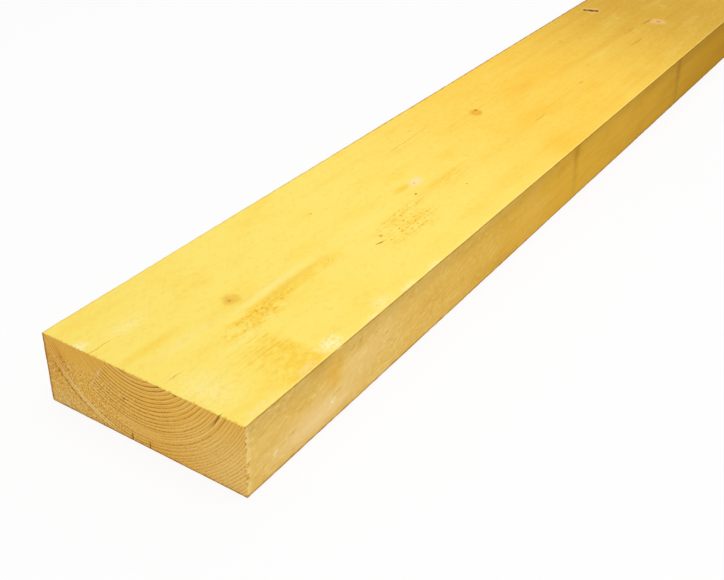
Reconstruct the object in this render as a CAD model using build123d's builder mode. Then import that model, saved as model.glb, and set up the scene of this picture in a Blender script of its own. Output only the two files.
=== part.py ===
from build123d import *

import os
from math import acos, cos, degrees, hypot, radians, sin, sqrt

# A sawn softwood plank, one straight length of structural timber that lies on its broad face.
# X runs across the width, Y along the length and Z up. The origin is the middle of the underside.
# All sizes are in millimetres and all angles in degrees.

# Sawn section and stock length
WIDTH = 225.0
THICKNESS = 75.0
LENGTH = 3000.0
ARRIS_RADIUS = 1.0

# Heart of the log, which lies outside the plank. The growth rings on the end are centred on it.
HEART_FROM_MIDDLE = -4.4
HEART_ABOVE_TOP = 66.7
# Half-width of a growth ring over its depth below the heart
RING_ROUNDNESS = 0.88

# Ring shake, where the end has parted along one growth ring, down from the top face
SHAKE_FROM_ARRIS = 25.0
SHAKE_TURN = 15.0
SHAKE_MOUTH = 1.3
SHAKE_REACH = 6.0

# Drying checks, splits that run from the underside of the end towards the heart
CHECK_REACH = 30.0
FIRST_CHECK_FROM_MIDDLE = -13.4
FIRST_CHECK_HEIGHT = 9.5
FIRST_CHECK_MOUTH = 1.3
SECOND_CHECK_FROM_MIDDLE = 6.8
SECOND_CHECK_HEIGHT = 10.0
SECOND_CHECK_MOUTH = 0.9

# Dead knot in the top face, whose bark has shrunk away into an open crescent
KNOT_FROM_END = 1136.5
KNOT_FROM_ARRIS = 29.5
KNOT_TURN = 15.0
GAP_LENGTH = 22.0
GAP_BOW = 3.8
GAP_WIDTH = 2.6
GAP_DEPTH = 4.0

# Chip out of the top arris, a shallow scallop
CHIP_FROM_END = 131.0
CHIP_LENGTH = 15.0
CHIP_DEPTH = 2.2

# How far a cut stands clear of the face that it opens on
CUT_CLEARANCE = 1.0

END_Y = -LENGTH / 2
HEART_HEIGHT = THICKNESS + HEART_ABOVE_TOP

# The sawn end, seen from outside, with its own X across the width and its own Y up
END_PLANE = Plane.XZ.offset(LENGTH / 2)


def ring_point(radius, angle):
    """Where a growth ring stands on the end, at an angle from straight below the heart."""
    across = HEART_FROM_MIDDLE + RING_ROUNDNESS * radius * sin(radians(angle))
    return (across, HEART_HEIGHT - radius * cos(radians(angle)))


def inside_end(point, depth):
    """The vertex at a point of the end and this far into the wood."""
    return Vertex(*END_PLANE.from_local_coords((point[0], point[1], -depth)))


def shake_crescent():
    """The mouth of the ring shake on the end, and its widest point, just clear of the top face."""
    across = (WIDTH / 2 - SHAKE_FROM_ARRIS - HEART_FROM_MIDDLE) / RING_ROUNDNESS
    ring = hypot(across, HEART_ABOVE_TOP)
    top_angle = degrees(acos((HEART_ABOVE_TOP - CUT_CLEARANCE) / ring))
    tip_angle = top_angle - SHAKE_TURN
    middle_angle = (top_angle + tip_angle) / 2
    outer_top = ring_point(ring + SHAKE_MOUTH / 2, top_angle)
    inner_top = ring_point(ring - SHAKE_MOUTH / 2, top_angle)
    outer_middle = ring_point(ring + SHAKE_MOUTH / 4, middle_angle)
    inner_middle = ring_point(ring - SHAKE_MOUTH / 4, middle_angle)
    tip = ring_point(ring, tip_angle)
    with BuildSketch(END_PLANE, mode=Mode.PRIVATE) as mouth:
        with BuildLine():
            ThreePointArc(tip, outer_middle, outer_top)
            Line(outer_top, inner_top)
            ThreePointArc(inner_top, inner_middle, tip)
        make_face()
    return mouth.sketch, ring_point(ring, top_angle)


def check_wedge(from_middle, height, mouth_width):
    """The mouth of a drying check on the end, and its widest point, just clear of the underside."""
    lean = (HEART_FROM_MIDDLE - from_middle) / HEART_HEIGHT
    root = (from_middle - lean * CUT_CLEARANCE, -CUT_CLEARANCE)
    left = (root[0] - mouth_width / 2, root[1])
    right = (root[0] + mouth_width / 2, root[1])
    tip = (from_middle + lean * height, height)
    with BuildSketch(END_PLANE, mode=Mode.PRIVATE) as mouth:
        with BuildLine():
            Polyline(left, right, tip, close=True)
        make_face()
    return mouth.sketch, root


CHECKS = (
    (FIRST_CHECK_FROM_MIDDLE, FIRST_CHECK_HEIGHT, FIRST_CHECK_MOUTH),
    (SECOND_CHECK_FROM_MIDDLE, SECOND_CHECK_HEIGHT, SECOND_CHECK_MOUTH),
)

# The knot's own frame on the top face, with X along the chord of the crescent
KNOT_PLANE = Plane(
    origin=(KNOT_FROM_ARRIS - WIDTH / 2, END_Y + KNOT_FROM_END, THICKNESS),
    x_dir=(cos(radians(KNOT_TURN)), sin(radians(KNOT_TURN)), 0),
    z_dir=(0, 0, 1),
)

# Ball that scoops the chip: its radius gives the chip's length at the chip's depth.
CHIP_RADIUS = (CHIP_LENGTH**2 / 4 + CHIP_DEPTH**2) / (2 * CHIP_DEPTH)
CHIP_STANDOFF = (CHIP_RADIUS - CHIP_DEPTH) / sqrt(2)

with BuildPart() as plank:
    # The sawn section, carried along the length
    with BuildSketch(Plane.XZ):
        with Locations((0, THICKNESS / 2)):
            RectangleRounded(WIDTH, THICKNESS, ARRIS_RADIUS)
    extrude(amount=LENGTH / 2, both=True)

    # The ring shake, which closes to a point inside the wood
    shake_mouth, shake_top = shake_crescent()
    loft(sections=[shake_mouth, inside_end(shake_top, SHAKE_REACH)], mode=Mode.SUBTRACT)

    # The drying checks
    for check in CHECKS:
        check_mouth, check_root = check_wedge(*check)
        loft(sections=[check_mouth, inside_end(check_root, CHECK_REACH)], mode=Mode.SUBTRACT)

    # The open crescent round the dead knot
    with BuildSketch(KNOT_PLANE):
        with BuildLine():
            ThreePointArc((-GAP_LENGTH / 2, 0), (0, GAP_BOW), (GAP_LENGTH / 2, 0))
            ThreePointArc((GAP_LENGTH / 2, 0), (0, GAP_BOW - GAP_WIDTH), (-GAP_LENGTH / 2, 0))
        make_face()
    extrude(amount=-GAP_DEPTH, mode=Mode.SUBTRACT)

    # The chip in the arris
    with Locations((WIDTH / 2 + CHIP_STANDOFF, END_Y + CHIP_FROM_END, THICKNESS + CHIP_STANDOFF)):
        Sphere(CHIP_RADIUS, mode=Mode.SUBTRACT)

plank.part.label = "plank"

os.makedirs("parts", exist_ok=True)
export_step(plank.part, "parts/plank.step")
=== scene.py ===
"""A sawn softwood plank with yellow treatment stain, lying on a pale studio floor.

Lengths are in millimetres unless a name says otherwise. Across is X from the middle of the width, along is
the distance from the end with the cracks, and height is Z. Meshes are in metres, in the frame's own axes.
"""

import functools
import itertools
import logging
import math
from dataclasses import dataclass
from enum import Enum, IntEnum
from typing import Sequence, Union

import bpy
import numpy as np
from mathutils import Matrix, Vector


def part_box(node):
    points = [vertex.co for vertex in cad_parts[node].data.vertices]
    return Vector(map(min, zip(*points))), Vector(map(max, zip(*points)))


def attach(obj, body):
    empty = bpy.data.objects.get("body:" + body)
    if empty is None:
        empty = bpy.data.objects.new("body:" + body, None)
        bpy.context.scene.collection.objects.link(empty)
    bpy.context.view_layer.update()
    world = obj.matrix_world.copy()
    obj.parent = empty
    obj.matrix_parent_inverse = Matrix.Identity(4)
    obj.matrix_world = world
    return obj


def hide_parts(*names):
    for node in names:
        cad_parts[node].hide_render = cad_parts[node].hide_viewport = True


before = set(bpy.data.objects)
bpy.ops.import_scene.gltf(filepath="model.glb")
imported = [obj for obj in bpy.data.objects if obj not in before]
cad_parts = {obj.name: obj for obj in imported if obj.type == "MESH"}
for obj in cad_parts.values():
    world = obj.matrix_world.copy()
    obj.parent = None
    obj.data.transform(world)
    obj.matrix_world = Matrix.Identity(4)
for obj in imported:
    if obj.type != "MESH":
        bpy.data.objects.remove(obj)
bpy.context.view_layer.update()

LOG = logging.getLogger("plank")
MM = 0.001

Socket = bpy.types.NodeSocket
Source = Union[Socket, float, Sequence[float]]
Outputs = bpy.types.NodeOutputs
Settings = dict[str, object]
Limits = tuple[float, float]
Stops = Sequence[Limits]
Triple = tuple[float, float, float]
Colour = tuple[float, float, float, float]


def seen(red: float, green: float, blue: float) -> Colour:
    """A colour as a picture shows it, turned into the linear values that shaders take.

    The curve is the usual one for displays, a straight start and then a power.

    Args:
        red, green, blue: display levels from 0 to 255.

    Returns:
        Linear red, green and blue, with an alpha of 1.
    """
    levels = np.array([red, green, blue]) / 255.0
    linear = np.where(levels <= 0.04045, levels / 12.92, ((levels + 0.055) / 1.055) ** 2.4)
    return (*linear.tolist(), 1.0)


def lattice_noise(points: np.ndarray, cell: Triple, seed: int, count: int = 48) -> np.ndarray:
    """A smooth random field that is the same at every run.

    Random values stand at the corners of a repeating lattice of cells, and each point takes the eased
    trilinear mix of the eight corners round it.

    Args:
        points: places, with the last axis holding X, Y and Z.
        cell: the size of a lattice cell each way.
        seed: which field.
        count: how many cells there are each way before the lattice repeats.

    Returns:
        Values from 0 to 1, one for each point.
    """
    corners = np.random.default_rng(seed).random((count, count, count))
    scaled = points / np.asarray(cell)
    base = np.floor(scaled).astype(int)
    part = scaled - base
    ease = part * part * (3.0 - 2.0 * part)
    total = np.zeros(points.shape[:-1])
    for step in itertools.product((0, 1), repeat=3):
        weight = np.prod(np.where(step, ease, 1.0 - ease), axis=-1)
        index = (base + np.array(step)) % count
        total += weight * corners[index[..., 0], index[..., 1], index[..., 2]]
    return total


def graded(stops: Stops, fineness: int = 20001) -> np.ndarray:
    """Places along a line whose spacing changes smoothly from stop to stop.

    The count of places is the integral of one over the spacing, and the places are where that count is whole.

    Args:
        stops: pairs of a place and the spacing wanted there, in order.
        fineness: how many steps the integral is taken in.

    Returns:
        The places, from the first stop to the last.
    """
    at, spacing = np.array(stops, float).T
    order = np.argsort(at)
    fine = np.linspace(at[0], at[-1], fineness)
    density = 1.0 / np.interp(fine, at[order], spacing[order])
    steps = (density[1:] + density[:-1]) / 2 * np.abs(np.diff(fine))
    count = np.concatenate([[0.0], np.cumsum(steps)])
    wanted = np.linspace(0.0, count[-1], max(2, round(count[-1]) + 1))
    return np.interp(wanted, count, fine)


class Side(IntEnum):
    """The long faces of the plank, in the order in which the section's outline meets them."""

    TOP = 0
    RIGHT = 1
    BOTTOM = 2
    LEFT = 3


class Finish(IntEnum):
    """The material slots of the plank's mesh."""

    BROAD = 0
    NARROW = 1
    END = 2
    SPLIT = 3


LIGHT_STAIN = seen(253, 227, 110)


class Tint(Enum):
    """Colours in the wood, as a picture shows them on the light stain in full light."""

    ORANGE = (250, 200, 60)
    AMBER = (234, 180, 70)
    OLIVE = (216, 172, 52)
    BROWN = (200, 134, 36)
    REDDISH = (216, 138, 66)
    UMBER = (150, 107, 34)
    DARK = (96, 54, 8)
    SHADE = (196, 175, 84)
    STRAW = (255, 235, 134)
    HONEY = (255, 212, 120)
    CREAM = (255, 230, 158)
    PINK = (255, 226, 172)
    PALE = (255, 246, 190)

    @property
    def covers(self) -> bool:
        """Whether it lies over the stain, as bare fibre does. Other colours darken it, as dyes do."""
        return self in (Tint.STRAW, Tint.HONEY, Tint.CREAM, Tint.PINK, Tint.PALE)

    @property
    def dye(self) -> tuple[float, ...]:
        """The share of each colour that is left when this colour is made by darkening the light stain."""
        return tuple(min(1.0, own / light) for own, light in zip(seen(*self.value), LIGHT_STAIN))


@dataclass(frozen=True)
class Log:
    """The tree that the plank was sawn from, as the growth rings on its end show it."""

    heart_across: float = -4.4
    heart_height: float = 141.7
    roundness: float = 0.8765
    # Radius and number of the rings where the yearly growth changes
    ring_counts: tuple[tuple[float, float], ...] = (
        (62.9, -3), (75.2, 0), (111.8, 9), (118.6, 11), (125.8, 14), (131.5, 15),
        (138.0, 17), (142.1, 18), (155.8, 23), (171.0, 28), (201.0, 38),
    )

    def ring_across(self, radius: float, height: np.ndarray) -> np.ndarray:
        """Where the ring of this radius stands at these heights, on the right of the heart."""
        drop = self.heart_height - height
        return self.heart_across + self.roundness * np.sqrt(np.maximum(radius**2 - drop**2, 0.0))

    def radius_at(self, across: float, height: float) -> float:
        """The radius of the ring through a point of the end."""
        return math.hypot((across - self.heart_across) / self.roundness, self.heart_height - height)


@dataclass(frozen=True)
class Split:
    """A crack that opens on one broad face and the near end, and closes inside the wood."""

    side: Side
    across: float
    extent: float
    reach: float
    mouth: float
    along_ring: bool

    def path(self, log: Log, depth: np.ndarray, thickness: float) -> np.ndarray:
        """The crack's place across the end: on a growth ring, or on the straight line to the heart.

        Args:
            log: where the rings are centred.
            depth: depths from the face that the crack opens on.
            thickness: the plank's thickness.

        Returns:
            Places across, one for each depth.
        """
        if self.along_ring:
            return log.ring_across(log.radius_at(self.across, thickness), thickness - depth)
        return self.across + (log.heart_across - self.across) * depth / log.heart_height


@dataclass(frozen=True)
class KnotGap:
    """The open crescent where a dead knot's bark has shrunk from the wood of the top face."""

    across: float = -83.0
    along: float = 1136.5
    length: float = 22.0
    bow: float = 2.5
    width: float = 2.6
    depth: float = 4.0
    slope: float = math.tan(math.radians(15.0))
    tail: float = 0.6

    def spread(self, across: np.ndarray) -> np.ndarray:
        """Place in the crescent, from -1 at its left tip to 1 at its right one."""
        return (across - self.across) / (self.length / 2)

    def line(self, across: np.ndarray) -> np.ndarray:
        """The crescent's line, as distances beyond the knot: a slope with a parabolic bow, fading out.

        Args:
            across: places across the top.

        Returns:
            The distance at each place.
        """
        spread = self.spread(across)
        inside = np.clip(spread, -1.0, 1.0)
        fade = np.exp(-((np.maximum(np.abs(spread) - 1.0, 0.0) / self.tail) ** 2))
        return (self.slope * inside * self.length / 2 + self.bow * (1.0 - inside**2)) * fade

    def openness(self, across: np.ndarray) -> np.ndarray:
        """Width of the crescent as a share of its widest, which falls to nothing at the tips."""
        return np.maximum(1.0 - self.spread(across) ** 2, 0.0)


@dataclass(frozen=True)
class Chip:
    """A shallow scallop broken out of the right top arris."""

    along: float = 131.0
    length: float = 15.0
    depth: float = 2.2

    def scooped(self, points: np.ndarray, across: float, height: float) -> np.ndarray:
        """Pushes points that lie inside the ball that scoops the chip out to its surface.

        Args:
            points: the skin.
            across, height: where the arris stands.

        Returns:
            The moved points.
        """
        ball = (self.length**2 / 4 + self.depth**2) / (2 * self.depth)
        stand = (ball - self.depth) / math.sqrt(2.0)
        centre = np.array([across + stand, self.along, height + stand])
        offset = points - centre
        distance = np.linalg.norm(offset, axis=-1, keepdims=True)
        return np.where(distance < ball, centre + offset / np.maximum(distance, 1e-6) * ball, points)


@dataclass(frozen=True)
class TornPatch:
    """A stretch of the top face where the saw has plucked fibres out, in rows along the rings or loosely."""

    across: float
    along: float
    half_across: float
    half_along: float
    strength: float
    rows: float
    loose: float
    steepness: float = 1.6

    def mask(self, points: np.ndarray) -> np.ndarray:
        """One in the middle of the patch, falling to nothing at its elliptical edge."""
        offset = (points[..., :2] - (self.across, self.along)) / (self.half_across, self.half_along)
        return np.clip(self.steepness * (1.0 - np.linalg.norm(offset, axis=-1)), 0.0, 1.0)


@dataclass(frozen=True)
class Relief:
    """Smooth random hollows in the wood, sharper with a higher power."""

    depth: float
    cell: Triple
    seed: int
    power: int = 1

    def at(self, points: np.ndarray) -> np.ndarray:
        """How deep the hollows are at these points."""
        return self.depth * lattice_noise(points, self.cell, self.seed) ** self.power


@dataclass(frozen=True)
class Mark:
    """A soft-edged ellipsoid of another colour in the wood, filled, or hollow as a ring.

    The strength is how much of the tint shows, and the edge is the share of its size over which a mark
    fades out. Loose fibre breaks up a fuzzy one.
    """

    across: float
    along: float
    height: float
    size: Triple
    tint: Tint
    strength: float
    edge: float = 0.95
    turn: Triple = (0.0, 0.0, 0.0)
    hollow: bool = False
    fuzzy: bool = False


# Where the faces with marks stand, and how deep marks go into the broad ones and the edge
TOP_FACE = 75.0
UNDERSIDE = 0.0
RIGHT_FACE = 112.5
NEAR_END = 0.0
MARK_DEPTH = 30.0
SIDE_DEPTH = 20.0


def on_top(across: float, along: float, wide: float, long: float, tint: Tint, strength: float,
           edge: float = 0.95, turn: float = 0.0, hollow: bool = False, fuzzy: bool = False) -> Mark:
    """A mark on the top face, deep enough not to change down through the arris.

    Args:
        across, along: its middle.
        wide, long: its half sizes across and along the plank.
        tint, strength, edge: as for any mark.
        turn: degrees that it is turned, anticlockwise seen from above.
        hollow, fuzzy: as for any mark.

    Returns:
        The mark.
    """
    size, turned = (wide, long, MARK_DEPTH), (0.0, 0.0, turn)
    return Mark(across, along, TOP_FACE, size, tint, strength, edge, turned, hollow, fuzzy)


TOP_MARKS: tuple[Mark, ...] = (
    # Streaks and stains along the grain
    on_top(14, 196, 5.5, 84, Tint.AMBER, 0.24),
    on_top(19, 190, 13, 110, Tint.ORANGE, 0.3),
    on_top(-20, 38, 9, 58, Tint.ORANGE, 0.35),
    on_top(-16, 150, 16, 46, Tint.ORANGE, 0.15),
    on_top(5, 172, 6, 90, Tint.PALE, 0.22),
    on_top(37.5, 96, 3, 44, Tint.PALE, 0.22),
    on_top(-2, 60, 10, 60, Tint.PALE, 0.14),
    on_top(8, 330, 16, 90, Tint.STRAW, 0.3),
    on_top(24, 465, 11, 70, Tint.ORANGE, 0.3),
    on_top(0, 416, 7, 24, Tint.ORANGE, 0.6),
    on_top(92, 632, 40, 66, Tint.ORANGE, 0.36),
    on_top(30, 690, 16, 110, Tint.ORANGE, 0.25),
    on_top(-30, 830, 30, 180, Tint.ORANGE, 0.2),
    # Fibre torn up along the near right arris
    on_top(108, 84, 12, 40, Tint.ORANGE, 0.6, 0.9, fuzzy=True),
    on_top(107, 90, 9, 24, Tint.PALE, 0.4, fuzzy=True),
    on_top(107, 28, 7, 40, Tint.CREAM, 0.5, 0.9, fuzzy=True),
    # Bare fibre along the right arris and at the near end
    on_top(103, 130, 16, 24, Tint.PALE, 0.85, fuzzy=True),
    on_top(110, 186, 7, 16, Tint.PALE, 0.5, fuzzy=True),
    on_top(104, 211, 16, 26, Tint.PALE, 0.35, fuzzy=True),
    on_top(110, 250, 8, 24, Tint.PALE, 0.5, fuzzy=True),
    on_top(110, 297, 7, 20, Tint.PALE, 0.4, fuzzy=True),
    on_top(-69, 4, 12, 12, Tint.PALE, 0.7, fuzzy=True),
    on_top(-58, 48, 15, 34, Tint.PALE, 0.3, fuzzy=True),
    on_top(58, 20, 50, 40, Tint.PALE, 0.3, fuzzy=True),
    # Knot in the near end
    on_top(-11.8, 135, 12.5, 13.5, Tint.AMBER, 0.4, 0.85),
    on_top(-11.8, 135, 10, 11, Tint.BROWN, 0.08, 0.4, hollow=True),
    on_top(-11.8, 133.5, 6, 6.2, Tint.BROWN, 0.16),
    on_top(-11.3, 132.5, 2, 2.2, Tint.BROWN, 0.5),
    # Pale knot with a small dark heart
    on_top(3, 440, 10, 19, Tint.PINK, 0.8, 0.9, turn=10),
    on_top(3.8, 436, 1.4, 2, Tint.BROWN, 0.8, 0.9),
    # Small faint knot further along
    on_top(-33.7, 653, 10, 14, Tint.AMBER, 0.3, 0.7, turn=12),
    on_top(-35.5, 655, 9, 12, Tint.BROWN, 0.2, 0.5, turn=12, hollow=True),
    on_top(-38.5, 659, 3.2, 4.4, Tint.BROWN, 0.65, 0.9),
    # Dead knot round the open crescent
    on_top(-82, 1139, 19, 17, Tint.CREAM, 0.45, 0.8),
    on_top(-82.5, 1138, 12.5, 8, Tint.UMBER, 1, 0.7, turn=15),
    on_top(-91.5, 1135, 4, 5, Tint.DARK, 1.1, 0.9),
    on_top(-73.5, 1141, 4.4, 5.5, Tint.DARK, 1.4, 0.8),
    # Pale knot further along, with a dark streak beside it
    on_top(27, 1149.5, 17, 20, Tint.PINK, 0.5),
    on_top(27, 1149.5, 6, 8, Tint.BROWN, 0.6),
    on_top(12, 1138, 2.2, 24, Tint.BROWN, 0.6, 0.9, turn=-3),
    # Pitch dots and short dark checks
    on_top(18.4, 413.8, 1.4, 2.4, Tint.DARK, 0.75, 0.8, turn=-24),
    on_top(44, 302, 1.3, 8.5, Tint.UMBER, 0.95, 0.8, turn=-12),
    on_top(37.4, 315, 2.6, 4.6, Tint.REDDISH, 0.8, 0.9),
    on_top(52.5, 469, 1.3, 2.4, Tint.UMBER, 0.7, 0.8, turn=-20),
    on_top(-47.9, 312, 1.2, 1.7, Tint.UMBER, 0.55, 0.8),
    on_top(-73.9, 556, 1.2, 2.6, Tint.BROWN, 0.7, 0.8, turn=-20),
    on_top(-62, 526, 1.2, 84, Tint.BROWN, 0.24, 0.9, turn=1.5),
    on_top(-55, 11, 0.7, 22, Tint.BROWN, 0.6, 0.8),
    on_top(25, 17, 0.8, 15, Tint.BROWN, 0.35, 0.8),
    on_top(39, 689, 1.4, 26, Tint.BROWN, 0.26, 0.9),
    on_top(32, 832, 1.4, 10, Tint.BROWN, 0.55, 0.9),
    on_top(34, 1038, 2.6, 40, Tint.BROWN, 0.22, 0.9, turn=-4),
    on_top(6, 1084, 3, 36, Tint.BROWN, 0.22, 0.9),
    on_top(-61.1, 970, 2.4, 6.5, Tint.BROWN, 0.25, 0.9),
    on_top(-43.1, 1001, 2.6, 6.5, Tint.BROWN, 0.28, 0.9),
    # Knots in the far half
    on_top(52, 1720, 10, 13, Tint.AMBER, 0.65, 0.7),
    on_top(52, 1720, 2.4, 2.8, Tint.UMBER, 0.6, 0.9),
    on_top(-46, 2210, 11, 15, Tint.PINK, 0.6, 0.8),
    on_top(-46, 2210, 3, 3.6, Tint.UMBER, 0.5, 0.9),
    on_top(20, 2640, 9, 12, Tint.BROWN, 0.3, 0.5, hollow=True),
)

UNDERSIDE_MARKS: tuple[Mark, ...] = (
    Mark(-30, 620, UNDERSIDE, (11, 15, MARK_DEPTH), Tint.AMBER, 0.65, 0.7),
    Mark(-30, 620, UNDERSIDE, (2.6, 3, MARK_DEPTH), Tint.UMBER, 0.6, 0.9),
    Mark(55, 1410, UNDERSIDE, (9, 12, MARK_DEPTH), Tint.PINK, 0.6, 0.8),
    Mark(55, 1410, UNDERSIDE, (2.2, 2.6, MARK_DEPTH), Tint.UMBER, 0.55, 0.9),
    Mark(-12, 2330, UNDERSIDE, (10, 14, MARK_DEPTH), Tint.BROWN, 0.3, 0.5, hollow=True),
)

SIDE_MARKS: tuple[Mark, ...] = (
    # Scuffed pale patches and flecks low down
    Mark(RIGHT_FACE, 95, 20, (SIDE_DEPTH, 110, 24), Tint.PINK, 0.42),
    Mark(RIGHT_FACE, 190, 38, (SIDE_DEPTH, 60, 24), Tint.PINK, 0.2),
    Mark(RIGHT_FACE, 38, 22, (SIDE_DEPTH, 6.5, 6.5), Tint.PALE, 0.7, 0.9, turn=(25, 0, 0), fuzzy=True),
    Mark(RIGHT_FACE, 119, 22, (SIDE_DEPTH, 10, 6.5), Tint.PALE, 0.7, 0.9, turn=(15, 0, 0), fuzzy=True),
    # Bare wood in the chip, and darker stain under it
    Mark(RIGHT_FACE, 130.5, 74.5, (SIDE_DEPTH, 8, 3.5), Tint.PALE, 0.8, 0.8),
    Mark(RIGHT_FACE, 124, 58, (SIDE_DEPTH, 24, 36), Tint.ORANGE, 0.5),
    Mark(RIGHT_FACE, 100, 70, (SIDE_DEPTH, 26, 18), Tint.OLIVE, 0.3),
    # Strap stains down the edge, darker at the top
    Mark(RIGHT_FACE, 641.5, 38, (SIDE_DEPTH, 13, 60), Tint.SHADE, 0.22, turn=(8.4, 0, 0)),
    Mark(RIGHT_FACE, 637.5, 68, (SIDE_DEPTH, 15, 30), Tint.OLIVE, 0.4, turn=(8.4, 0, 0)),
    Mark(RIGHT_FACE, 1012, 38, (SIDE_DEPTH, 14, 60), Tint.SHADE, 0.32, turn=(8.4, 0, 0)),
    Mark(RIGHT_FACE, 1008, 66, (SIDE_DEPTH, 17, 34), Tint.OLIVE, 0.35, turn=(8.4, 0, 0)),
)

END_MARKS: tuple[Mark, ...] = (
    # Broad changes of tone over the end, of which the first, darker towards the top left, is painted shade
    Mark(-104, NEAR_END, 50, (34, 20, 36), Tint.AMBER, 0.34),
    Mark(-92, NEAR_END, 2, (56, 20, 26), Tint.CREAM, 0.3),
    Mark(-8, NEAR_END, 17, (50, 20, 14), Tint.CREAM, 0.16),
    Mark(100, NEAR_END, 20, (80, 20, 62), Tint.CREAM, 0.3),
    # Spot, ray and torn corners
    Mark(-18.7, NEAR_END, 43.4, (1.7, 8, 2.2), Tint.DARK, 0.9, 0.8),
    Mark(-47, NEAR_END, 57.6, (2.4, 8, 20), Tint.PINK, 0.7, 0.9, turn=(0, 32, 0), fuzzy=True),
    Mark(-91, NEAR_END, 56, (3.6, 8, 22), Tint.BROWN, 0.26, turn=(0, -26, 0)),
    Mark(23, NEAR_END, 73.8, (5, 8, 1.6), Tint.UMBER, 0.65, 0.9),
    Mark(41, NEAR_END, 73.4, (3, 8, 2), Tint.UMBER, 0.55, 0.9),
    # Painted shade as dark lines along the ring shake and the drying checks
    Mark(83.2, NEAR_END, 67, (0.7, 8, 11), Tint.UMBER, 0.7, 0.8, turn=(0, 29, 0)),
    Mark(-13.6, NEAR_END, 5, (1.1, 8, 7), Tint.UMBER, 0.55, 0.7),
    Mark(6.9, NEAR_END, 5.5, (1, 8, 6.5), Tint.UMBER, 0.4, 0.7),
)

TORN_PATCHES: tuple[TornPatch, ...] = (
    TornPatch(25, 132, 18, 74, strength=0.6, rows=0.2, loose=1.0),
    TornPatch(22, 236, 11, 46, strength=0.3, rows=0.3, loose=0.6),
    TornPatch(50, 352, 24, 66, strength=0.85, rows=1.0, loose=0.3),
    TornPatch(29, 372, 10, 66, strength=0.55, rows=1.0, loose=0.4),
    TornPatch(30, 480, 14, 64, strength=0.3, rows=1.0, loose=0.2),
)


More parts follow.
